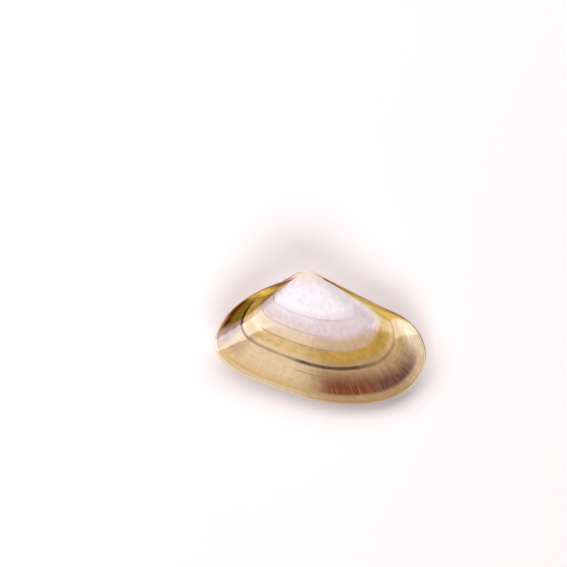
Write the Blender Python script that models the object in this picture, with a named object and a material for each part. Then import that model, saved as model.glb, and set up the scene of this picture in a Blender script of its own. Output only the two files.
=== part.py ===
"""A closed tellin shell: two thin domed valves and the ligament behind their beaks.

Each valve follows the growth rule of a seashell. Its margin shrinks towards the beak
while it turns about the hinge, so every older margin is a smaller copy of the newest.
The shell lies on its left valve. Metres, +Z up, +X towards the shell's front end.
"""
import math

import bmesh
import bpy
import numpy as np
from mathutils import Matrix, Vector
from mathutils.bvhtree import BVHTree

MM = 0.001

# A valve's own frame, in millimetres: the beak at the origin, x to the front end,
# y to the hinge side, z outwards from the plane where the valves meet.
# The margin is a smooth closed curve through these places, read off the photo by eye to the
# nearest quarter millimetre: the front end, the hinge side, the hind end and the belly.
MARGIN_PLACES = [
    (22.25, -10.0), (18.5, -4.75), (11.5, -2.75), (5.5, -1.0), (0.0, -0.25), (-7.5, -4.0),
    (-12.5, -9.5), (-13.25, -15.0), (-8.5, -18.25), (0.0, -20.0), (8.0, -20.5),
    (15.5, -19.0), (20.75, -15.5),
]
MARGIN_MIDDLE = (3.4, -11.2)

# The coil: the logarithm of the size falls by TIGHTENING for each radian about the hinge,
# and EASING slows that down towards the beak. The coil ends in a small cap.
TIGHTENING = 1.42
EASING = 0.10
COIL_END = math.radians(150.0)

# Four halts in growth stand as low ledges, where the shell had these shares of its size.
LEDGE_SIZES = (0.72, 0.60, 0.51, 0.40)
LEDGE_HEIGHT = 0.12
LEDGE_FACE = math.radians(0.5)
LEDGE_RUN = math.radians(2.5)

WALL = 0.9
RIM_WIDTH = 1.3
SEAM = 0.3
STEEPEST_WALL = 0.45

# The left valve sits a little towards the hinge side of the right one.
LEFT_SHIFT = (0.06, 0.24)

# How the shell lies on its left valve, balanced: hinge side up, then front end down.
# FOOT_CUT is the depth of the worn spot that it rests on.
REST_PITCH = math.radians(12.0)
REST_ROLL = math.radians(1.0)
FOOT_CUT = 0.12

# The ligament's base line, clear of the valves behind their beaks.
LIGAMENT_START = (-1.5, 0.05)
LIGAMENT_END = (-5.0, -2.02)
LIGAMENT_WIDTH = 1.4
LIGAMENT_HEIGHT = 0.55

SAND = (0.78, 0.62, 0.42)
DEEP_SAND = (0.72, 0.57, 0.40)
HORN = (0.22, 0.07, 0.03)
WET_SHELL = 0.2
WET_HORN = 0.4

# How finely the surfaces are cut into faces.
COLUMNS = 60
ROWS_BETWEEN_LEDGES = 3
ROWS_AT_BEAK = 12
BOWL_STEPS = (0.05, 0.13, 0.25, 0.42, 0.62, 0.82)
SPLINE_STEPS = 40
LIGAMENT_SIDES = 20
LIGAMENT_RINGS = 10
SHARPEST_SMOOTH = math.radians(35.0)


def angle_at(size):
    """How far the coil has turned about the hinge where the shell had this share of its size."""
    return (TIGHTENING - math.sqrt(TIGHTENING**2 + 2 * EASING * math.log(size))) / EASING


LEDGE_ANGLES = [angle_at(size) for size in LEDGE_SIZES]


def frame_through(places):
    """The corners of the closed cubic B-spline that passes through these places."""
    count = len(places)
    turn = np.eye(count)
    blend = (np.roll(turn, 1, axis=0) + 4 * turn + np.roll(turn, -1, axis=0)) / 6
    return np.linalg.solve(blend, np.array(places))


def margin_points(count):
    """Evenly spaced points along the margin, front end first, then over the hinge."""
    frame = frame_through(MARGIN_PLACES)
    fine = SPLINE_STEPS * len(frame)
    place = np.arange(fine) * len(frame) / fine
    corner = place.astype(int)
    step = (place - corner)[:, None]
    before, here, after, beyond = (frame[(corner + k) % len(frame)] for k in (-1, 0, 1, 2))
    points = ((1 - step) ** 3 * before + (3 * step**3 - 6 * step**2 + 4) * here
              + (-3 * step**3 + 3 * step**2 + 3 * step + 1) * after + step**3 * beyond) / 6
    closed = np.vstack([points, points[:1]])
    length = np.concatenate([[0], np.cumsum(np.linalg.norm(np.diff(closed, axis=0), axis=1))])
    wanted = np.arange(count) * length[-1] / count
    return np.column_stack([np.interp(wanted, length, closed[:, k]) for k in (0, 1)])


def coil(points, angle):
    """The margin's points where the coil has turned by this angle about the hinge."""
    size = math.exp(-TIGHTENING * angle + EASING * angle**2 / 2)
    x, y = size * points.T
    return np.column_stack([x, y * math.cos(angle), -y * math.sin(angle)])


def relief(angle):
    """Height of the surface there: newer shell starts below each ledge and swells back."""
    drop = sum(math.exp(-(ledge - angle) / LEDGE_RUN) for ledge in LEDGE_ANGLES if angle < ledge)
    return -LEDGE_HEIGHT * drop


def coil_angles():
    """The rows of the outer surface, from the margin to the beak."""
    angles = []
    start = 0.0
    for ledge in LEDGE_ANGLES:
        foot = ledge - LEDGE_FACE
        angles += list(np.linspace(start, foot, ROWS_BETWEEN_LEDGES, endpoint=False))
        angles.append(foot)
        start = ledge
    return angles + list(np.linspace(start, COIL_END, ROWS_AT_BEAK))


def outer_rows():
    """The outer surface's rows of points, with the ledges, from the margin to the beak."""
    points = margin_points(COLUMNS)
    rows = []
    for angle in coil_angles():
        row = coil(points, angle)
        along = np.roll(row, -1, axis=0) - np.roll(row, 1, axis=0)
        inwards = coil(points, angle + LEDGE_FACE) - row
        normal = np.cross(along, inwards)
        normal /= np.linalg.norm(normal, axis=1)[:, None]
        height = relief(angle) if angle > 0 else 0.0
        rows.append(row + height * normal)
    return rows


def bowl_rows(outer):
    """The inner surface: a flat rim, then a bowl one wall thickness below the outside."""
    edge = outer[0][:, :2]
    middle = np.array(MARGIN_MIDDLE)
    reach = np.linalg.norm(edge - middle, axis=1)[:, None]
    rim = middle + (edge - middle) * (1 - RIM_WIDTH / reach)
    vertices = [Vector(point) for row in outer for point in row]
    faces = [(r * COLUMNS + c, r * COLUMNS + (c + 1) % COLUMNS,
              (r + 1) * COLUMNS + (c + 1) % COLUMNS, (r + 1) * COLUMNS + c)
             for r in range(len(outer) - 1) for c in range(COLUMNS)]
    outside = BVHTree.FromPolygons(vertices, faces)

    def ceiling(x, y):
        hit, normal, _, _ = outside.ray_cast(Vector((x, y, -WALL)), Vector((0, 0, 1)))
        return max(0.0, hit.z - WALL / max(abs(normal.z), STEEPEST_WALL))

    rows = [np.column_stack([rim, np.zeros(COLUMNS)])]
    for step in BOWL_STEPS:
        ring = rim + (middle - rim) * step
        rows.append(np.array([(x, y, ceiling(x, y)) for x, y in ring]))
    top = np.array([(*middle, ceiling(*middle))])
    return rows, top


def valve_mesh(name):
    """One valve in its own frame, as a closed mesh, in millimetres."""
    outer = outer_rows()
    inner, top = bowl_rows(outer)
    cap = outer[-1].mean(axis=0)
    mesh = bmesh.new()

    def add_row(row):
        return [mesh.verts.new(point) for point in row]

    def join(row, following):
        for k in range(COLUMNS):
            after = (k + 1) % COLUMNS
            mesh.faces.new((row[k], row[after], following[after], following[k]))

    def close(row, tip):
        for k in range(COLUMNS):
            mesh.faces.new((row[k], row[(k + 1) % COLUMNS], tip))

    outside = [add_row(row) for row in outer]
    inside = [add_row(row) for row in inner]
    for row, following in zip(outside, outside[1:]):
        join(row, following)
    for row, following in zip([outside[0]] + inside, inside):
        join(following, row)
    close(outside[-1], mesh.verts.new(cap))
    close(inside[-1][::-1], mesh.verts.new(top[0]))
    bmesh.ops.recalc_face_normals(mesh, faces=mesh.faces)
    data = bpy.data.meshes.new(name)
    mesh.to_mesh(data)
    mesh.free()
    return data


def ligament_mesh(name):
    """The ligament: a low rounded loaf along the hinge line, just behind the beaks."""
    start = np.array(LIGAMENT_START)
    end = np.array(LIGAMENT_END)
    length = np.linalg.norm(end - start)
    mesh = bmesh.new()
    bmesh.ops.create_uvsphere(mesh, u_segments=LIGAMENT_SIDES, v_segments=LIGAMENT_RINGS,
                              radius=1.0, matrix=Matrix.Rotation(math.pi / 2, 4, "Y"))
    bmesh.ops.scale(mesh, verts=mesh.verts, vec=(length / 2, LIGAMENT_HEIGHT, LIGAMENT_WIDTH / 2))
    cut = bmesh.ops.bisect_plane(mesh, geom=mesh.verts[:] + mesh.edges[:] + mesh.faces[:],
                                 plane_co=(0, 0, 0), plane_no=(0, 1, 0), clear_inner=True)
    edges = [item for item in cut["geom_cut"] if isinstance(item, bmesh.types.BMEdge)]
    bmesh.ops.contextual_create(mesh, geom=edges)
    lean = math.atan2(start[1] - end[1], start[0] - end[0])
    middle = (start + end) / 2
    mesh.transform(Matrix.Translation((*middle, 0)) @ Matrix.Rotation(lean, 4, "Z"))
    bmesh.ops.recalc_face_normals(mesh, faces=mesh.faces)
    data = bpy.data.meshes.new(name)
    mesh.to_mesh(data)
    mesh.free()
    return data


def material(name, colour, roughness):
    """A plain Principled finish."""
    finish = bpy.data.materials.new(name)
    finish.use_nodes = True
    shader = finish.node_tree.nodes["Principled BSDF"]
    shader.inputs["Base Color"].default_value = (*colour, 1)
    shader.inputs["Roughness"].default_value = roughness
    shader.inputs["Metallic"].default_value = 0.0
    return finish


def place(name, data, finish):
    """Put a mesh made in the valves' own frame into the scene, on the lying shell."""
    data.transform(Matrix.Scale(MM, 4))
    data.materials.append(finish)
    data.shade_smooth()
    data.set_sharp_from_angle(angle=SHARPEST_SMOOTH)
    piece = bpy.data.objects.new(name, data)
    piece.parent = shell
    bpy.context.scene.collection.objects.link(piece)
    return piece


def cut_foot(data):
    """Cut the worn spot flat where the left valve meets the ground."""
    up = lie.inverted() @ Vector((0, 0, 1))
    height = min(up.dot(vertex.co) for vertex in data.vertices) + FOOT_CUT * MM
    mesh = bmesh.new()
    mesh.from_mesh(data)
    cut = bmesh.ops.bisect_plane(mesh, geom=mesh.verts[:] + mesh.edges[:] + mesh.faces[:],
                                 plane_co=height * up, plane_no=up, clear_inner=True)
    edges = [item for item in cut["geom_cut"] if isinstance(item, bmesh.types.BMEdge)]
    bmesh.ops.contextual_create(mesh, geom=edges)
    mesh.to_mesh(data)
    mesh.free()


for thing in list(bpy.data.objects):
    bpy.data.objects.remove(thing)

# The pieces ride on one empty, which turns the shell to lie on its left valve.
shell = bpy.data.objects.new("shell", None)
shell.rotation_euler = (REST_PITCH, REST_ROLL, 0.0)
bpy.context.scene.collection.objects.link(shell)
lie = shell.rotation_euler.to_matrix()

right_mesh = valve_mesh("right_valve")
right_mesh.transform(Matrix.Translation((0, 0, SEAM / 2)))
right_valve = place("right_valve", right_mesh, material("right_valve", SAND, WET_SHELL))

left_mesh = valve_mesh("left_valve")
left_mesh.transform(Matrix.Translation((*LEFT_SHIFT, -SEAM / 2)) @ Matrix.Diagonal((1, 1, -1, 1)))
left_mesh.flip_normals()
left_valve = place("left_valve", left_mesh, material("left_valve", DEEP_SAND, WET_SHELL))
cut_foot(left_valve.data)

ligament = place("ligament", ligament_mesh("ligament"), material("ligament", HORN, WET_HORN))

# The origin is on the ground, under the middle of the shell's box.
points = np.array([lie @ vertex.co for piece in (right_valve, left_valve, ligament)
                   for vertex in piece.data.vertices])
low, high = points.min(axis=0), points.max(axis=0)
shell.location = (-(low[0] + high[0]) / 2, -(low[1] + high[1]) / 2, -low[2])
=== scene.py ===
import math

import bpy
import numpy as np
from mathutils import Euler, Matrix, Vector


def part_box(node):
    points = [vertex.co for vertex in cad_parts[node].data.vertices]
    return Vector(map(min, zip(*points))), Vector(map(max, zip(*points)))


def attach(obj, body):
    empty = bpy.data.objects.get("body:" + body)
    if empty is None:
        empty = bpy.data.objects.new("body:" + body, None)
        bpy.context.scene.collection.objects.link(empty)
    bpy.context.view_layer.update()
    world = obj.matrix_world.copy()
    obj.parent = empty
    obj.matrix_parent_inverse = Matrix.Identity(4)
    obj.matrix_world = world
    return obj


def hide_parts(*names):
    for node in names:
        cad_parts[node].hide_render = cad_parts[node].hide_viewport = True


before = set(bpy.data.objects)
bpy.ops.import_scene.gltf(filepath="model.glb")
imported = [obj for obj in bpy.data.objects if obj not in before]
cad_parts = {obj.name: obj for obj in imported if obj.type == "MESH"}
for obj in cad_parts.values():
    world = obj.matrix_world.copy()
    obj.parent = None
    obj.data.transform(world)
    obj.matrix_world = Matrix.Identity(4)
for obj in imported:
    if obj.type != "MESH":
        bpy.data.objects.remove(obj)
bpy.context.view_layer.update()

# The right valve.
# One half of a wedge clam: a thin dome of lime, laid down row by row at its open edge. The edge
# turned about the hinge while it grew, so every older edge is a smaller copy of the newest one.
MM = 0.001

# The open edge, in millimetres from the beak: x to the front end, y to the hinge side. It is a
# smooth closed curve through these places, read off the photo, over the hind end and back.
EDGE_PLACES = [
    (5.5, -1.0), (0.0, -0.25), (-7.5, -4.0), (-12.5, -9.5), (-13.25, -15.0), (-8.5, -18.25),
    (0.0, -20.0), (8.0, -20.5), (15.5, -19.0), (20.75, -15.5), (22.25, -10.0), (18.5, -4.75),
    (11.5, -2.75),
]
EDGE_FINENESS = 64
BOWL_MIDDLE = (3.4, -11.2)

# Each halt in growth left the older edge standing as a ledge: the edge's size, and the ledge's share.
HALTS = ((0.72, 0.9), (0.60, 0.15), (0.51, 0.12), (0.40, 0.18))

# The waves of the surface: how many round the edge, and how many along the growth. They die away
# between these sizes of the edge, at the lip and at the beak.
SWELLS = (1.3, 5.0)
GROWTH_LINES = (1.5, 26.0)
FINE_GROWTH_LINES = (1.5, 90.0)
SMOOTH_AT_LIP = (1.0, 0.97)
SMOOTH_AT_BEAK = (0.04, 0.12)
LAST_ROW = 0.9999
LIP_SHARE = 0.5
RIM_SHARE = 0.5625
BOWL_BEGINS = 0.01

# How the shell lies on its left valve: hinge side up, then front end down.
LIE = Euler((math.radians(12.0), math.radians(1.0), 0.0)).to_matrix()


class Value:
    """A number that a node tree works out, for use in sums as a plain number is used."""

    def __init__(self, socket):
        self.socket = socket

    def sum(self, operation, *others):
        return add_node(self.socket.id_data, "ShaderNodeMath", self, *others, operation=operation)

    def __add__(self, other):
        return self.sum("ADD", other)

    def __sub__(self, other):
        return self.sum("SUBTRACT", other)

    def __mul__(self, other):
        return self.sum("MULTIPLY", other)

    def __truediv__(self, other):
        return self.sum("DIVIDE", other)

    def __neg__(self):
        return self.sum("MULTIPLY", -1.0)

    def __rsub__(self, other):
        return (-self).sum("ADD", other)

    __radd__ = __add__
    __rmul__ = __mul__


def add_node(tree, kind, *sources, out=0, **settings):
    """Add a node, feed its live inputs in order, and give the chosen one of its live outputs."""
    node = tree.nodes.new(kind)
    for name, setting in settings.items():
        setattr(node, name, setting)
    live = [socket for socket in node.inputs if socket.enabled]
    for socket, source in zip(live, sources):
        if isinstance(source, Value):
            tree.links.new(source.socket, socket)
        elif source is not None:
            socket.default_value = source
    return Value([socket for socket in node.outputs if socket.enabled][out])


def vector(tree, x=0.0, y=0.0, z=0.0):
    return add_node(tree, "ShaderNodeCombineXYZ", x, y, z)


def parts(source, tree):
    """The three numbers of a vector."""
    return [add_node(tree, "ShaderNodeSeparateXYZ", source, out=k) for k in range(3)]


def ramp_up(tree, value, start, end):
    """0 before start, 1 after end, and a soft step between them."""
    return add_node(tree, "ShaderNodeMapRange", value, start, end, 0.0, 1.0,
                    interpolation_type="SMOOTHSTEP")


def wrinkle(tree, place, height, seed=0.0, detail=2.0):
    """Smooth noise about zero, this high at most, one wrinkle for each unit of place."""
    x, y, z = place
    noise = add_node(tree, "ShaderNodeTexNoise", vector(tree, x, y, z), seed, 1.0, detail, 0.5,
                     noise_dimensions="4D")
    return (noise - 0.5) * (2.0 * height)


def grown_valve_tree():
    """The tree that grows one valve from its edge, in millimetres, with the beak at the origin."""
    tree = bpy.data.node_groups.new("grown valve", "GeometryNodeTree")
    sockets = {
        "Edge": ("NodeSocketObject", None),
        "Columns": ("NodeSocketInt", 400), "Rows": ("NodeSocketInt", 200),
        "Tightening": ("NodeSocketFloat", 1.42), "Easing": ("NodeSocketFloat", 0.10),
        "Beak Size": ("NodeSocketFloat", 0.021), "Ledge Height": ("NodeSocketFloat", 0.12),
        "Ledge Face": ("NodeSocketFloat", 0.010), "Ledge Run": ("NodeSocketFloat", 0.060),
        "Growth Line Height": ("NodeSocketFloat", 0.012), "Swell Height": ("NodeSocketFloat", 0.05),
        "Lip Drop": ("NodeSocketFloat", 0.12), "Rim Width": ("NodeSocketFloat", 1.3),
        "Wall": ("NodeSocketFloat", 0.9), "Steepest Wall": ("NodeSocketFloat", 0.45),
        "Inner Rows": ("NodeSocketInt", 17), "Seed": ("NodeSocketFloat", 0.0),
        "Weld": ("NodeSocketFloat", 0.0002), "Finish": ("NodeSocketMaterial", None),
    }
    for name, (kind, default) in sockets.items():
        socket = tree.interface.new_socket(name, in_out="INPUT", socket_type=kind)
        if default is not None:
            socket.default_value = default
    tree.interface.new_socket("Geometry", in_out="OUTPUT", socket_type="NodeSocketGeometry")
    given = tree.nodes.new("NodeGroupInput")
    get = {name: Value(given.outputs[name]) for name in sockets}
    edge = add_node(tree, "GeometryNodeObjectInfo", get["Edge"], out=4)

    def edge_at(round_edge):
        """The place and direction of the edge, this share of the way round it."""
        place = add_node(tree, "GeometryNodeSampleCurve", edge, None, round_edge, out=1, mode="FACTOR")
        along = add_node(tree, "GeometryNodeSampleCurve", edge, None, round_edge, out=2, mode="FACTOR")
        return parts(place, tree)[:2], parts(along, tree)[:2]

    def size_at(down):
        """The size of the row, from 1 at the edge to the beak's own."""
        return 1.0 - down * (1.0 - get["Beak Size"])

    def ring(down_and_round, around, along):
        """A place for noise that closes on itself round the edge."""
        round_edge, size = down_and_round
        turn = round_edge * math.tau
        return turn.sum("COSINE") * around, turn.sum("SINE") * around, size * along

    # The outside: rows that shrink and turn, with the ledges and growth lines on them.
    grid = add_node(tree, "GeometryNodeMeshGrid", 1.0, 1.0, get["Columns"], get["Rows"])
    grid_uv = Value(grid.socket.node.outputs["UV Map"])
    spot = add_node(tree, "GeometryNodeInputPosition")
    spot_x, spot_y, _ = parts(spot, tree)
    round_edge, down = spot_x + 0.5, spot_y + 0.5
    size = size_at(down)
    tight, ease = get["Tightening"], get["Easing"]
    turned = (tight - (tight * tight + 2.0 * ease * size.sum("LOGARITHM", math.e)).sum("SQRT")) / ease
    cosine, sine = turned.sum("COSINE"), turned.sum("SINE")
    (x, y), (along_x, along_y) = edge_at(round_edge)
    last = down.sum("GREATER_THAN", LAST_ROW)
    x, y = [here + last * (middle - here) for here, middle in zip((x, y), BOWL_MIDDLE)]
    coiled = vector(tree, size * x, size * y * cosine, -(size * y * sine))
    shrink = tight - ease * turned
    along = vector(tree, along_x, along_y * cosine, -(along_y * sine))
    growth = vector(tree, -(shrink * x), -(shrink * y * cosine + y * sine),
                    shrink * y * sine - y * cosine)
    outwards = add_node(tree, "ShaderNodeVectorMath", along, growth, operation="CROSS_PRODUCT")
    outwards = add_node(tree, "ShaderNodeVectorMath", outwards, operation="NORMALIZE")

    here, line_height = (round_edge, size), get["Growth Line Height"]
    relief = wrinkle(tree, ring(here, *SWELLS), get["Swell Height"], get["Seed"])
    relief += wrinkle(tree, ring(here, *GROWTH_LINES), 2.0 * line_height, get["Seed"] + 3.0)
    relief += wrinkle(tree, ring(here, *FINE_GROWTH_LINES), line_height, get["Seed"] + 7.0)
    for halt, share in HALTS:
        beyond = (size - halt) / halt
        fade = (-(beyond.sum("MAXIMUM", 0.0) / get["Ledge Run"])).sum("EXPONENT")
        relief -= get["Ledge Height"] * share * fade * ramp_up(tree, beyond, 0.0, get["Ledge Face"])
    relief *= ramp_up(tree, size, *SMOOTH_AT_LIP) * ramp_up(tree, size, *SMOOTH_AT_BEAK)
    lifted = add_node(tree, "ShaderNodeVectorMath", outwards, relief, operation="SCALE")
    placed = add_node(tree, "ShaderNodeVectorMath", coiled, lifted, operation="ADD")
    outside = add_node(tree, "GeometryNodeSetPosition", grid, None, placed)
    grid_u, grid_v, _ = parts(grid_uv, tree)
    growth_map = vector(tree, grid_u, size_at(grid_v))
    outside = add_node(tree, "GeometryNodeStoreNamedAttribute", outside, None, "growth", growth_map,
                       data_type="FLOAT2", domain="CORNER")

    # The inside: the lip rolls over the edge, then a flat rim, then the bowl under the wall.
    grid = add_node(tree, "GeometryNodeMeshGrid", 1.0, 1.0, get["Columns"], get["Inner Rows"])
    grid_uv = Value(grid.socket.node.outputs["UV Map"])
    (x, y), (along_x, along_y) = edge_at(round_edge)
    side = vector(tree, -(along_y * y), along_x * y, tight * (along_y * x - along_x * y))
    side = add_node(tree, "ShaderNodeVectorMath", side, operation="NORMALIZE")
    side_x, side_y, side_z = parts(side, tree)
    flat = (side_x * side_x + side_y * side_y).sum("SQRT")
    radius = get["Lip Drop"] / (1.0 + side_z)
    start = side_z.sum("ARCCOSINE")
    roll = start + (math.pi - start) * (down / LIP_SHARE).sum("MINIMUM", 1.0)
    reach = radius * (roll.sum("SINE") / flat - 1.0)
    lip_x, lip_y = x + reach * side_x, y + reach * side_y
    lip_z = radius * (roll.sum("COSINE") - side_z)
    middle_x, middle_y = BOWL_MIDDLE
    across = ((x - middle_x) * (x - middle_x) + (y - middle_y) * (y - middle_y)).sum("SQRT")
    rim = 1.0 - get["Rim Width"] / across
    onto_rim = ((down - LIP_SHARE) / (RIM_SHARE - LIP_SHARE)).sum("MAXIMUM", 0.0).sum("MINIMUM", 1.0)
    into_bowl = ((down - RIM_SHARE) / (1.0 - RIM_SHARE)).sum("MAXIMUM", 0.0)
    share = rim * (1.0 - into_bowl)
    bowl_x = lip_x + onto_rim * (middle_x + (x - middle_x) * share - lip_x)
    bowl_y = lip_y + onto_rim * (middle_y + (y - middle_y) * share - lip_y)
    ray = vector(tree, bowl_x, bowl_y, -1.0)
    hit = add_node(tree, "GeometryNodeRaycast", outside, None, ray, (0.0, 0.0, 1.0), 50.0, out=1)
    facing = Value(hit.socket.node.outputs["Hit Normal"])
    hit_z = parts(hit, tree)[2]
    steep = parts(facing, tree)[2].sum("ABSOLUTE").sum("MAXIMUM", get["Steepest Wall"])
    ceiling = (hit_z - get["Wall"] / steep).sum("MAXIMUM", -get["Lip Drop"])
    in_bowl = into_bowl.sum("GREATER_THAN", BOWL_BEGINS)
    inner_z = lip_z + in_bowl * (ceiling - lip_z)
    inside = add_node(tree, "GeometryNodeSetPosition", grid, None, vector(tree, bowl_x, bowl_y, inner_z))
    grid_u, grid_v, _ = parts(grid_uv, tree)
    inside = add_node(tree, "GeometryNodeStoreNamedAttribute", inside, None, "growth",
                      vector(tree, grid_u, 1.0 + grid_v), data_type="FLOAT2", domain="CORNER")
    inside = add_node(tree, "GeometryNodeFlipFaces", inside)

    whole = tree.nodes.new("GeometryNodeJoinGeometry")
    for side in (inside, outside):
        tree.links.new(side.socket, whole.inputs[0])
    whole = add_node(tree, "GeometryNodeMergeByDistance", Value(whole.outputs[0]), None, get["Weld"])
    whole = add_node(tree, "GeometryNodeSetShadeSmooth", whole)
    whole = add_node(tree, "GeometryNodeRealizeInstances", whole)
    whole = add_node(tree, "GeometryNodeSetMaterial", whole, None, get["Finish"])
    result = tree.nodes.new("NodeGroupOutput")
    tree.links.new(whole.socket, result.inputs[0])
    return tree


def frame_through(places):
    """The corners of the closed cubic curve that passes through these places."""
    count = len(places)
    turn = np.eye(count)
    blend = (np.roll(turn, 1, axis=0) + 4 * turn + np.roll(turn, -1, axis=0)) / 6
    return np.linalg.solve(blend, np.array(places))


def grown_mesh(name, tree, settings):
    """What the tree grows on the shell's edge, as a plain mesh, in millimetres."""
    curve = bpy.data.curves.new(name + "_edge", "CURVE")
    curve.dimensions = "3D"
    spline = curve.splines.new("NURBS")
    spline.points.add(len(EDGE_PLACES) - 1)
    for point, corner in zip(spline.points, frame_through(EDGE_PLACES)):
        point.co = (*corner, 0.0, 1.0)
    spline.use_cyclic_u = True
    spline.order_u = 4
    spline.resolution_u = EDGE_FINENESS
    edge = bpy.data.objects.new(name + "_edge", curve)
    bpy.context.scene.collection.objects.link(edge)
    holder = bpy.data.objects.new(name + "_form", bpy.data.meshes.new(name + "_form"))
    bpy.context.scene.collection.objects.link(holder)
    growth = holder.modifiers.new("grow", "NODES")
    growth.node_group = tree
    inputs = {item.name: item.identifier for item in tree.interface.items_tree}
    for label, setting in {"Edge": edge, **settings}.items():
        growth[inputs[label]] = setting
    depsgraph = bpy.context.evaluated_depsgraph_get()
    mesh = bpy.data.meshes.new_from_object(holder.evaluated_get(depsgraph), depsgraph=depsgraph)
    holder.modifiers.remove(growth)
    bpy.data.objects.remove(holder)
    bpy.data.objects.remove(edge)
    mesh.name = name
    return mesh


def box_of(mesh):
    """The mesh's lowest and highest corners."""
    corners = [[f(vertex.co[k] for vertex in mesh.vertices) for k in range(3)] for f in (min, max)]
    return Vector(corners[0]), Vector(corners[1])


def pigment(red, green, blue):
    """A pigment as the eye names it, from 0 to 255, turned into light."""
    return (*(((part / 255.0 + 0.055) / 1.055) ** 2.4 for part in (red, green, blue)), 1.0)


# The colours of the shell, as the eye names them: its pigments, some also used for painted shade.
CHALK = pigment(240, 230, 235)
LILAC = pigment(220, 200, 205)
PEACH = pigment(250, 225, 205)
BLUSH = pigment(225, 175, 165)
CREAM = pigment(240, 215, 180)
SAND = pigment(230, 200, 165)
HONEY = pigment(220, 185, 130)
FLESH = pigment(205, 170, 140)
AMBER = pigment(235, 185, 130)
GOLD = pigment(215, 175, 85)
OCHRE = pigment(190, 150, 75)
TAN = pigment(185, 150, 110)
UMBER = pigment(140, 100, 65)
OLIVE = pigment(125, 95, 30)
MAUVE = pigment(145, 120, 120)
RUST = pigment(125, 60, 35)
VIOLET_BROWN = pigment(110, 65, 60)
CHESTNUT = pigment(85, 30, 5)
INK = pigment(35, 20, 10)
PORCELAIN = pigment(225, 215, 205)

# The bands of each part of the valve, from the beak out: the size of the edge, and the pigment.
# They change where the shell halted in its growth, at 0.40, 0.51, 0.60 and 0.72, and at the lip.
HIND_BELLY = [
    (0.00, PEACH), (0.20, CHALK), (0.36, CHALK), (0.45, LILAC), (0.58, SAND), (0.62, HONEY),
    (0.67, HONEY), (0.70, SAND), (0.85, SAND), (0.94, HONEY), (1.00, CREAM),
]
FRONT_BELLY = [
    (0.00, PEACH), (0.20, CHALK), (0.34, CHALK), (0.41, LILAC), (0.49, LILAC), (0.54, FLESH), (0.59, FLESH),
    (0.61, OCHRE), (0.67, OCHRE), (0.70, TAN), (1.00, TAN),
]
FRONT_QUARTER = [
    (0.00, PEACH), (0.20, CHALK), (0.34, CHALK), (0.43, LILAC), (0.55, LILAC), (0.60, OCHRE), (0.67, OCHRE),
    (0.70, HONEY), (0.80, TAN), (0.90, FLESH), (1.00, SAND),
]
FRONT_END = [
    (0.00, PEACH), (0.46, CHALK), (0.60, CREAM), (0.63, GOLD), (0.70, HONEY), (0.78, OCHRE),
    (0.86, CREAM), (1.00, CREAM),
]

# The bands of the two slopes run along the hinge: the share of the edge from the beak, and the pigment.
HIND_SLOPE = [
    (0.00, PEACH), (0.026, PEACH), (0.038, BLUSH), (0.052, UMBER), (0.068, UMBER),
    (0.085, GOLD), (0.113, GOLD), (0.140, OLIVE), (0.30, OLIVE),
]
FRONT_SLOPE = [
    (0.00, PEACH), (0.042, PEACH), (0.066, OCHRE), (0.105, OCHRE), (0.150, GOLD), (0.200, GOLD),
    (0.250, CREAM), (0.30, CREAM),
]

# Where each stain, and each patch of painted shade, lies: its pigment and strength, its share of the way
# round the edge, and its size.
BELLY_STAINS_AND_SHADE = [
    (MAUVE, 0.85, (0.180, 0.195, 0.232, 0.256), (0.70, 0.74, 1.10, 1.20)),
    (BLUSH, 0.32, (0.205, 0.215, 0.236, 0.256), (0.88, 0.95, 0.97, 0.99)),
    (TAN, 0.60, (0.235, 0.250, 0.268, 0.300), (0.50, 0.56, 0.86, 0.92)),
    (GOLD, 0.50, (0.740, 0.765, 0.830, 0.870), (0.80, 0.86, 1.10, 1.20)),
    # Painted shade: mauve on the hind flank of the umbo, beside the slope.
    (MAUVE, 0.38, (0.196, 0.206, 0.222, 0.250), (0.20, 0.32, 0.54, 0.60)),
    (CREAM, 0.60, (0.222, 0.238, 0.262, 0.300), (0.49, 0.53, 0.60, 0.64)),
]
# On the hind slope the olive, chestnut and umber stains are partly its pigment and partly painted shade,
# and the chestnut by the edge is also a painted dark reflection.
SLOPE_STAINS_AND_SHADE = [
    (OLIVE, 0.75, (0.125, 0.142, 0.300, 0.400), (0.71, 0.74, 0.86, 0.92)),
    (OCHRE, 0.80, (0.140, 0.170, 0.300, 0.400), (0.50, 0.60, 0.68, 0.72)),
    (CHESTNUT, 0.95, (0.118, 0.136, 0.300, 0.400), (0.84, 0.93, 1.10, 1.20)),
    (AMBER, 0.35, (0.165, 0.185, 0.300, 0.400), (0.94, 0.96, 1.10, 1.20)),
    (UMBER, 0.45, (0.145, 0.165, 0.195, 0.215), (0.36, 0.40, 0.46, 0.52)),
    (PEACH, 0.70, (0.840, 0.880, 1.100, 1.200), (-0.2, -0.1, 0.62, 0.80)),
    (GOLD, 0.90, (0.700, 0.765, 0.830, 0.870), (0.48, 0.66, 0.78, 0.90)),
]


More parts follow.
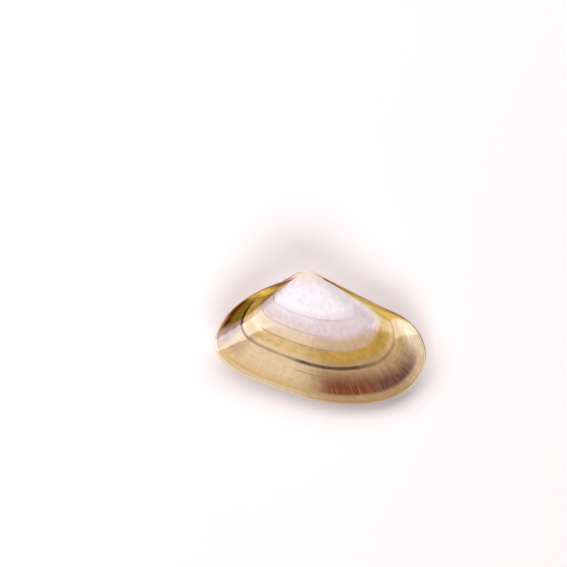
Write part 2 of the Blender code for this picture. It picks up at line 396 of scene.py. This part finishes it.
# Each halt left a dark line at the foot of its ledge, partly pigment and partly painted shade in
# the step below the ledge: the size of the edge, the line's width, its pigment and strength, and the
# stretch of the edge that it follows.
HALT_LINES = [
    (0.7190, 0.029, INK, 0.98, (0.145, 0.168, 0.226, 0.234)),
    (0.7200, 0.021, CHESTNUT, 0.50, (0.215, 0.240, 0.420, 0.480)),
    (0.7230, 0.021, INK, 0.90, (0.380, 0.440, 0.560, 0.640)),
    (0.7330, 0.018, UMBER, 0.62, (0.560, 0.620, 0.680, 0.726)),
    (0.7960, 0.008, UMBER, 0.50, (0.400, 0.420, 0.480, 0.520)),
    (0.6000, 0.010, UMBER, 0.42, (0.260, 0.300, 0.480, 0.560)),
    (0.5100, 0.008, MAUVE, 0.30, (0.220, 0.270, 0.460, 0.550)),
    (0.5100, 0.008, MAUVE, 0.45, (0.190, 0.205, 0.235, 0.270)),
    (0.4000, 0.010, MAUVE, 0.26, (0.220, 0.250, 0.550, 0.620)),
    (0.4000, 0.013, MAUVE, 0.75, (0.180, 0.200, 0.230, 0.260)),
]

# Where the rays lie on the newest band: shares of the way round the edge, and its sizes.
RUST_STRETCH = (0.435, 0.505, 0.578, 0.615)
VIOLET_STRETCH = (0.575, 0.610, 0.670, 0.735)
FAINT_STRETCH = (0.42, 0.47, 0.56, 0.64)
FAINT_SIZES = (0.735, 0.76, 0.86, 0.92)
PALE_STRETCH = (0.45, 0.50, 0.66, 0.70)
PALE_SIZES = (0.76, 0.82, 0.95, 0.97)
GILDED_STRETCH = (0.32, 0.50, 0.58, 0.66)


def banded(tree, size, bands):
    """The pigment of the band that a place of this size lies in."""
    found = add_node(tree, "ShaderNodeValToRGB", size)
    stops = found.socket.node.color_ramp.elements
    stops.remove(stops[1])
    stops[0].position, stops[0].color = bands[0]
    for place, colour in bands[1:]:
        stops.new(place).color = colour
    return found


def paint_over(tree, under, over, share):
    """One colour laid over another: mostly a pigment, in a few places painted shade."""
    return add_node(tree, "ShaderNodeMix", share, under, over, data_type="RGBA")


def zone(tree, value, start, full, fading, end):
    """1 from full to fading, with a soft step at each side."""
    return ramp_up(tree, value, start, full) * (1.0 - ramp_up(tree, value, fading, end))


def line(tree, size, place, width):
    """A fine line at this size of the edge."""
    return zone(tree, size, place - width, place - 0.3 * width, place + 0.3 * width, place + width)


def shell_finish(name, seed, lip_pigment, violet_grey):
    """Polished lime with its pigments and some painted shade."""
    finish = bpy.data.materials.new(name)
    finish.use_nodes = True
    tree = finish.node_tree
    shader = tree.nodes["Principled BSDF"]
    u, s, _ = parts(add_node(tree, "ShaderNodeUVMap", uv_map="growth"), tree)
    turn = u * math.tau
    cosine, sine = turn.sum("COSINE"), turn.sum("SINE")

    def noise(rays, rows, height, number, detail=2.0):
        """Noise that closes on itself round the edge, finer with more rays and rows."""
        return wrinkle(tree, (cosine * rays, sine * rays, s * rows), height, seed + number, detail)

    streak = noise(26.0, 2.0, 1.0, 1.0)
    ray = noise(11.0, 1.2, 1.0, 2.0)
    cloud = noise(3.0, 6.0, 1.0, 3.0)
    growth_line = noise(1.2, 34.0, 1.0, 4.0)
    fine_line = noise(1.5, 130.0, 1.0, 5.0)
    hair = noise(60.0, 3.0, 1.0, 6.0)
    mottle = noise(s * 17.0, 24.0, 1.0, 9.0, 3.0)
    wander = u + 0.010 * cloud
    size = s + 0.006 * noise(2.0, 3.0, 1.0, 7.0) + 0.004 * mottle

    # The bands of the slopes spread from the beak in straight lines, which the coil bends.
    from_beak = u.sum("MINIMUM", 1.0 - u)
    bend = 0.8 * (s.sum("POWER", -1.0) - 1.0).sum("MAXIMUM", 0.0).sum("POWER", 1.1)
    along_hinge = from_beak / (1.0 + bend * (1.0 - ramp_up(tree, from_beak, 0.12, 0.26)))
    slope_hair = wrinkle(tree, (along_hinge * 80.0, s * 2.0, 0.0), 1.0, seed + 12.0, 3.0)

    # The belly, deeper to the front, then the front end and the two slopes beside the hinge.
    colour = banded(tree, size, HIND_BELLY)
    colour = paint_over(tree, colour, banded(tree, size, FRONT_BELLY),
                   ramp_up(tree, wander + 0.02 * streak, 0.38, 0.52))
    colour = paint_over(tree, colour, banded(tree, size, FRONT_QUARTER),
                   ramp_up(tree, wander + 0.02 * streak, 0.63, 0.70))
    colour = paint_over(tree, colour, banded(tree, size, FRONT_END), ramp_up(tree, wander, 0.690, 0.735))
    for over, strength, round_edge, sizes in BELLY_STAINS_AND_SHADE:
        patch = zone(tree, wander, *round_edge) * zone(tree, s, *sizes)
        colour = paint_over(tree, colour, over, strength * (1.0 + 0.3 * mottle) * patch)
    front_edge = 0.732 + 0.060 * ramp_up(tree, s, 0.60, 0.95) + 0.018 * ramp_up(tree, s, 0.62, 0.54)
    front = ramp_up(tree, u + 0.002 * streak - front_edge, -0.006, 0.008)
    colour = paint_over(tree, colour, banded(tree, along_hinge + 0.002 * streak, FRONT_SLOPE), front)
    hind_edge = 0.207 + 0.007 * ramp_up(tree, s, 0.95, 0.80)
    hind = 1.0 - ramp_up(tree, u + 0.003 * cloud - hind_edge, -0.009, 0.007)
    hind *= 1.0 - zone(tree, u, 0.197, 0.213, 0.30, 0.40) * (1.0 - ramp_up(tree, s, 0.42, 0.56))
    colour = paint_over(tree, colour, banded(tree, along_hinge + 0.003 * slope_hair, HIND_SLOPE), hind)
    slopes = hind + front
    for over, strength, round_edge, sizes in SLOPE_STAINS_AND_SHADE:
        patch = zone(tree, wander, *round_edge) * zone(tree, s, *sizes) * slopes
        colour = paint_over(tree, colour, over, strength * (1.0 + 0.3 * mottle) * patch)
    # Painted shade: an olive line along the crease at the edge of the escutcheon, on the hind slope.
    crease_shade = line(tree, along_hinge, 0.1190, 0.007) * zone(tree, s, 0.40, 0.46, 0.66, 0.74) * hind
    colour = paint_over(tree, colour, OLIVE, 0.75 * crease_shade)

    # Rays on the newest band: rust in the middle, violet brown towards the front.
    rayed = 0.28 * ray + 0.35 * streak + 0.40 * hair + 0.10 * growth_line
    ragged = s - 0.06 * ray - 0.03 * streak - 0.045 * ramp_up(tree, u, 0.56, 0.67)
    outer_edge = 1.0 - ramp_up(tree, s + 0.004 * ray, 0.912, 0.948)
    rust = zone(tree, u + 0.006 * streak, *RUST_STRETCH) * ramp_up(tree, ragged, 0.72, 0.86)
    rust *= outer_edge
    colour = paint_over(tree, colour, RUST, rust * (0.88 + rayed))
    violet = zone(tree, u + 0.006 * streak, *VIOLET_STRETCH) * ramp_up(tree, ragged, 0.73, 0.85)
    violet *= outer_edge
    colour = paint_over(tree, colour, VIOLET_BROWN,
                   violet * (0.92 - 0.20 * ramp_up(tree, u, 0.64, 0.70) + rayed))
    faint = zone(tree, u, *FAINT_STRETCH) * zone(tree, s, *FAINT_SIZES)
    colour = paint_over(tree, colour, VIOLET_BROWN,
                   faint * (0.10 + 0.35 * ray + 0.45 * streak).sum("MAXIMUM", 0.0))
    pale_ray = ramp_up(tree, streak + 0.5 * ray, 0.22, 0.50) * zone(tree, u, *PALE_STRETCH)
    colour = paint_over(tree, colour, CREAM, 0.18 * pale_ray * zone(tree, s, *PALE_SIZES))
    for old_edge, width in ((0.955, 0.006), (0.937, 0.004)):
        mark = line(tree, s + 0.002 * cloud, old_edge, width) * zone(tree, u, 0.20, 0.28, 0.74, 0.78)
        colour = paint_over(tree, colour, UMBER, 0.18 * mark)

    # The dark lines of the halts, pigment with painted shade of the ledge steps, dull where they are
    # blackest.
    dull = s * 0.0
    for halt, width, line_tone, strength, reach in HALT_LINES:
        mark = line(tree, s + 0.002 * cloud, halt, width) * zone(tree, u, *reach)
        colour = paint_over(tree, colour, line_tone, strength * mark * (0.85 + 0.3 * ray))
        dull = dull + mark if line_tone is INK else dull

    grey = violet_grey * (0.8 + 0.7 * cloud + 0.4 * ray)
    colour = paint_over(tree, colour, MAUVE, grey * ramp_up(tree, s, 0.30, 0.60))

    # Thin growth lines and rays over everything, and scattered dark specks behind.
    newest = ramp_up(tree, s, 0.58, 0.76)
    streaky = (0.5 + 0.6 * zone(tree, u, 0.38, 0.46, 0.60, 0.70)) * newest
    grain = 1.0 + (0.4 + 0.6 * newest) * (0.12 * growth_line + 0.10 * fine_line)
    grain += streaky * (0.12 * hair + 0.16 * streak)
    grain += (0.20 + 0.20 * zone(tree, s, 0.59, 0.62, 0.67, 0.70)) * mottle + 0.80 * slope_hair * slopes
    colour = add_node(tree, "ShaderNodeVectorMath", colour, grain, operation="SCALE")
    specks = ramp_up(tree, noise(34.0, 46.0, 1.0, 8.0, 0.0), 0.44, 0.56)
    specks *= zone(tree, u, 0.13, 0.16, 0.26, 0.31) * zone(tree, s, 0.45, 0.60, 0.95, 1.0)
    colour = paint_over(tree, colour, OLIVE, 0.5 * specks)
    lip_width = 0.008 + 0.012 * zone(tree, u, 0.17, 0.21, 0.26, 0.32)
    lip_width = lip_width - 0.004 * zone(tree, u, 0.07, 0.10, 0.15, 0.19)
    lip = ramp_up(tree, s + lip_width, 0.998, 1.003)
    gilded = zone(tree, u, *GILDED_STRETCH)
    colour = paint_over(tree, colour, UMBER, 0.30 * line(tree, s + lip_width, 0.992, 0.007))
    colour = paint_over(tree, colour, lip_pigment, (0.85 - 0.60 * gilded) * lip)
    colour = paint_over(tree, colour, OCHRE, 0.55 * gilded * lip)
    colour = paint_over(tree, colour, AMBER, 0.75 * zone(tree, u, 0.07, 0.10, 0.16, 0.20) * lip)
    # Painted shade: umber on the inner part of the lip's roll, the dark seam where the two valves meet.
    colour = paint_over(tree, colour, UMBER, ramp_up(tree, s, 1.38, 1.48))
    colour = paint_over(tree, colour, PORCELAIN, ramp_up(tree, s, 1.53, 1.60))
    tree.links.new(colour.socket, shader.inputs["Base Color"])

    # The old shell about the beak and the slopes are worn matt, the newer shell is as smooth as glaze.
    worn = 1.0 - ramp_up(tree, s, 0.48, 0.64)
    worn_front = 0.55 * zone(tree, u, 0.64, 0.70, 0.735, 0.76) * (1.0 - ramp_up(tree, s, 0.70, 0.78))
    worn = worn.sum("MAXIMUM", worn_front)
    matt = (slopes + dull).sum("MINIMUM", 1.0)
    roughness = 0.14 + 0.28 * worn * (1.0 - matt) + 0.02 * growth_line + 0.66 * matt
    coat = (1.0 - 0.88 * worn) * (1.0 - matt)
    tree.links.new(roughness.socket, shader.inputs["Roughness"])
    tree.links.new(coat.socket, shader.inputs["Coat Weight"])
    shader.inputs["Specular IOR Level"].default_value = 0.0
    shader.inputs["Coat IOR"].default_value = 1.5
    shader.inputs["Coat Roughness"].default_value = 0.09

    riblets = (turn * 220.0 + 2.0 * cloud).sum("COSINE") * (0.5 + 0.5 * ray)
    height = 0.35 * riblets * (1.0 - worn) + 0.5 * fine_line + 0.3 * growth_line
    bump = tree.nodes.new("ShaderNodeBump")
    bump.inputs["Strength"].default_value = 0.10
    bump.inputs["Distance"].default_value = 0.00002
    tree.links.new(height.socket, bump.inputs["Height"])
    tree.links.new(bump.outputs["Normal"], shader.inputs["Normal"])
    return finish


VALVE_TREE = grown_valve_tree()
right_finish = shell_finish("right valve", 0.0, CREAM, 0.0)
right_mesh = grown_mesh("right_valve", VALVE_TREE, {"Seed": 0.0, "Finish": right_finish})
right_mesh.transform(Matrix.Scale(MM, 4))
right_mesh.transform(LIE.to_4x4())
low, high = box_of(right_mesh)
solid_low, solid_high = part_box("right_valve")
shell_at = (solid_low + solid_high - low - high) / 2
shell_at.z = solid_high[2] - high.z
right_mesh.transform(Matrix.Translation(shell_at))
right_valve = bpy.data.objects.new("right_valve_grown", right_mesh)
bpy.context.scene.collection.objects.link(right_valve)
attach(right_valve, "root")
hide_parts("right_valve")

# The left valve.
# The other half of the clam, of the same lime and the mirror image of the right one. It lies
# below, a little towards the hinge side, and its lowest spot is worn flat where it rests.
SEAM = 0.3
LEFT_SHIFT = (0.06, 0.24)
left_finish = shell_finish("left valve", 40.0, AMBER, 0.45)
left_mesh = grown_mesh("left_valve", VALVE_TREE, {"Seed": 20.0, "Finish": left_finish})
left_mesh.transform(Matrix.Translation((*LEFT_SHIFT, -SEAM)) @ Matrix.Diagonal((1, 1, -1, 1)))
left_mesh.flip_normals()
left_mesh.transform(Matrix.Scale(MM, 4))
left_mesh.transform(Matrix.Translation(shell_at) @ LIE.to_4x4())
for vertex in left_mesh.vertices:
    vertex.co.z = max(vertex.co.z, 0.0)
left_valve = bpy.data.objects.new("left_valve_grown", left_mesh)
bpy.context.scene.collection.objects.link(left_valve)
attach(left_valve, "root")
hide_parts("left_valve")

# The ligament.
# A short band of springy brown horn, faintly fibrous, that the clam grew just behind the beaks.
# It lies along the hinge line, sunk between the valves, and ties them together.
def horny_band_tree():
    """The tree that sweeps the band along the edge, in millimetres."""
    tree = bpy.data.node_groups.new("horny band", "GeometryNodeTree")
    sockets = {
        "Edge": ("NodeSocketObject", None),
        "Start": ("NodeSocketFloat", 0.020), "End": ("NodeSocketFloat", 0.064),
        "Rings": ("NodeSocketInt", 120), "Sides": ("NodeSocketInt", 40),
        "Half Width": ("NodeSocketFloat", 0.52), "Half Height": ("NodeSocketFloat", 0.37),
        "Sink": ("NodeSocketFloat", 0.17), "Fibre Height": ("NodeSocketFloat", 0.018),
        "Finish": ("NodeSocketMaterial", None),
    }
    for name, (kind, default) in sockets.items():
        socket = tree.interface.new_socket(name, in_out="INPUT", socket_type=kind)
        if default is not None:
            socket.default_value = default
    tree.interface.new_socket("Geometry", in_out="OUTPUT", socket_type="NodeSocketGeometry")
    given = tree.nodes.new("NodeGroupInput")
    get = {name: Value(given.outputs[name]) for name in sockets}
    edge = add_node(tree, "GeometryNodeObjectInfo", get["Edge"], out=4)
    grid = add_node(tree, "GeometryNodeMeshGrid", 1.0, 1.0, get["Rings"], get["Sides"])
    spot_x, spot_y, _ = parts(add_node(tree, "GeometryNodeInputPosition"), tree)
    length, side = spot_x + 0.5, spot_y * math.tau
    share = get["Start"] + length * (get["End"] - get["Start"])
    place = add_node(tree, "GeometryNodeSampleCurve", edge, None, share, out=1, mode="FACTOR")
    along = add_node(tree, "GeometryNodeSampleCurve", edge, None, share, out=2, mode="FACTOR")
    (x, y, _), (along_x, along_y, _) = parts(place, tree), parts(along, tree)
    taper = (length * (1.0 - length) * 4.0).sum("MAXIMUM", 0.0).sum("POWER", 0.35)
    taper = taper * (1.0 - 0.35 * length)
    fibre_at = (side.sum("COSINE") * 5.0, side.sum("SINE") * 5.0, length * 5.0)
    fibre = wrinkle(tree, fibre_at, get["Fibre Height"], 11.0, 3.0)
    out = side.sum("COSINE") * (get["Half Height"] + fibre) * taper - get["Sink"]
    across = side.sum("SINE") * (get["Half Width"] + fibre) * taper
    swept = vector(tree, x + out * along_y, y - out * along_x, across)
    band = add_node(tree, "GeometryNodeSetPosition", grid, None, swept)
    band = add_node(tree, "GeometryNodeMergeByDistance", band, None, 0.002)
    band = add_node(tree, "GeometryNodeSetShadeSmooth", band)
    band = add_node(tree, "GeometryNodeRealizeInstances", band)
    band = add_node(tree, "GeometryNodeSetMaterial", band, None, get["Finish"])
    result = tree.nodes.new("NodeGroupOutput")
    tree.links.new(band.socket, result.inputs[0])
    return tree


# The pigments of the fibres, from the darkest to the palest.
HORN_TONES = [
    (0.30, pigment(70, 22, 10)), (0.62, pigment(132, 52, 22)), (0.75, pigment(168, 92, 44)),
]


def horn_finish():
    """Damp brown horn with fine fibres."""
    finish = bpy.data.materials.new("horn")
    finish.use_nodes = True
    tree = finish.node_tree
    shader = tree.nodes["Principled BSDF"]
    place = add_node(tree, "ShaderNodeTexCoord", out=3)
    fibres = add_node(tree, "ShaderNodeTexNoise", place, 5200.0, 4.0, 0.6)
    tone = banded(tree, fibres, HORN_TONES)
    tree.links.new(tone.socket, shader.inputs["Base Color"])
    shader.inputs["Roughness"].default_value = 0.32
    shader.inputs["Coat Weight"].default_value = 0.4
    shader.inputs["Coat Roughness"].default_value = 0.1
    return finish


band_mesh = grown_mesh("ligament", horny_band_tree(), {"Finish": horn_finish()})
band_mesh.transform(Matrix.Translation((0, 0, -SEAM / 2)))
band_mesh.transform(Matrix.Scale(MM, 4))
band_mesh.transform(Matrix.Translation(shell_at) @ LIE.to_4x4())
ligament = bpy.data.objects.new("ligament_band", band_mesh)
bpy.context.scene.collection.objects.link(ligament)
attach(ligament, "root")
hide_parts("ligament")

# The floor.
# A plain sheet of pale matt paper under the shell, which is no part of it.
FLOOR = 1.5
PAPER = (0.97, 0.89, 0.90, 1)
floor_mesh = bpy.data.meshes.new("floor")
floor_corners = [(-FLOOR, -FLOOR, 0), (FLOOR, -FLOOR, 0), (FLOOR, FLOOR, 0), (-FLOOR, FLOOR, 0)]
floor_mesh.from_pydata(floor_corners, [], [(0, 1, 2, 3)])
floor = bpy.data.objects.new("floor", floor_mesh)
bpy.context.scene.collection.objects.link(floor)
paper = bpy.data.materials.new("paper")
paper.use_nodes = True
paper_shader = paper.node_tree.nodes["Principled BSDF"]
paper_shader.inputs["Base Color"].default_value = PAPER
paper_shader.inputs["Roughness"].default_value = 0.9
paper_shader.inputs["Specular IOR Level"].default_value = 0.0
floor_mesh.materials.append(paper)

# The light.
# Three soft lamps hang over the shell, facing down. Two light its colours, and the third shows
# only as the gleam on the glaze. The pale sky is what the camera sees past the floor.
HEIGHT = 0.6
SKY = (0.92, 0.88, 0.88, 1)


def softbox(name, radiance, middle, sides, turned, drop, lights_colour):
    """One soft lamp this far below the lamps' height, which its middle and sides are shares of."""
    light = bpy.data.lights.new(name, "AREA")
    light.shape = "RECTANGLE"
    light.size = sides[0] * HEIGHT
    light.size_y = sides[1] * HEIGHT
    light.energy = radiance * math.pi * light.size * light.size_y
    lamp = bpy.data.objects.new(name, light)
    lamp.location = (middle[0] * HEIGHT, middle[1] * HEIGHT, HEIGHT - drop)
    lamp.rotation_euler = (0, 0, math.radians(turned))
    lamp.visible_camera = False
    lamp.visible_diffuse = lights_colour
    lamp.visible_glossy = not lights_colour
    bpy.context.scene.collection.objects.link(lamp)


softbox("softbox", radiance=2.85, middle=(-0.40, 0.80), sides=(2.4, 1.3), turned=38.0, drop=0.0,
        lights_colour=True)
softbox("fill", radiance=5.5, middle=(0.25, -1.25), sides=(1.3, 1.1), turned=0.0, drop=0.004,
        lights_colour=True)
softbox("softbox_gleam", radiance=8.4, middle=(-0.60, -0.05), sides=(4.2, 1.3), turned=38.0,
        drop=0.002, lights_colour=False)
world = bpy.data.worlds.new("room")
world.use_nodes = True
sky = world.node_tree.nodes["Background"]
sky.inputs["Color"].default_value = SKY
looked_at = world.node_tree.nodes.new("ShaderNodeLightPath")
world.node_tree.links.new(looked_at.outputs["Is Camera Ray"], sky.inputs["Strength"])
bpy.context.scene.world = world

# The camera.
# It looks steeply down on the shell through a long lens, as the photograph does.
LENS = 187.94
SENSOR = 36.0
AIM = (-8.222, 7.746, 4.895)
AZIMUTH = -23.615
ELEVATION = 81.821
ROLL = 33.831
DISTANCE = 504.14
NEAREST = 0.01
camera = bpy.data.objects.new("camera", bpy.data.cameras.new("camera"))
camera.data.lens = LENS
camera.data.sensor_width = SENSOR
aim = Vector(AIM) * MM
azimuth, elevation, roll = (math.radians(angle) for angle in (AZIMUTH, ELEVATION, ROLL))
turn = Matrix.Rotation(azimuth, 3, "Z") @ Matrix.Rotation(math.pi / 2 - elevation, 3, "X")
turn = turn @ Matrix.Rotation(roll, 3, "Z")
camera.rotation_euler = turn.to_euler()
camera.location = aim + turn @ Vector((0, 0, DISTANCE * MM))
camera.data.clip_start = NEAREST
bpy.context.scene.collection.objects.link(camera)
bpy.context.scene.camera = camera
bpy.context.scene.view_settings.view_transform = "Standard"
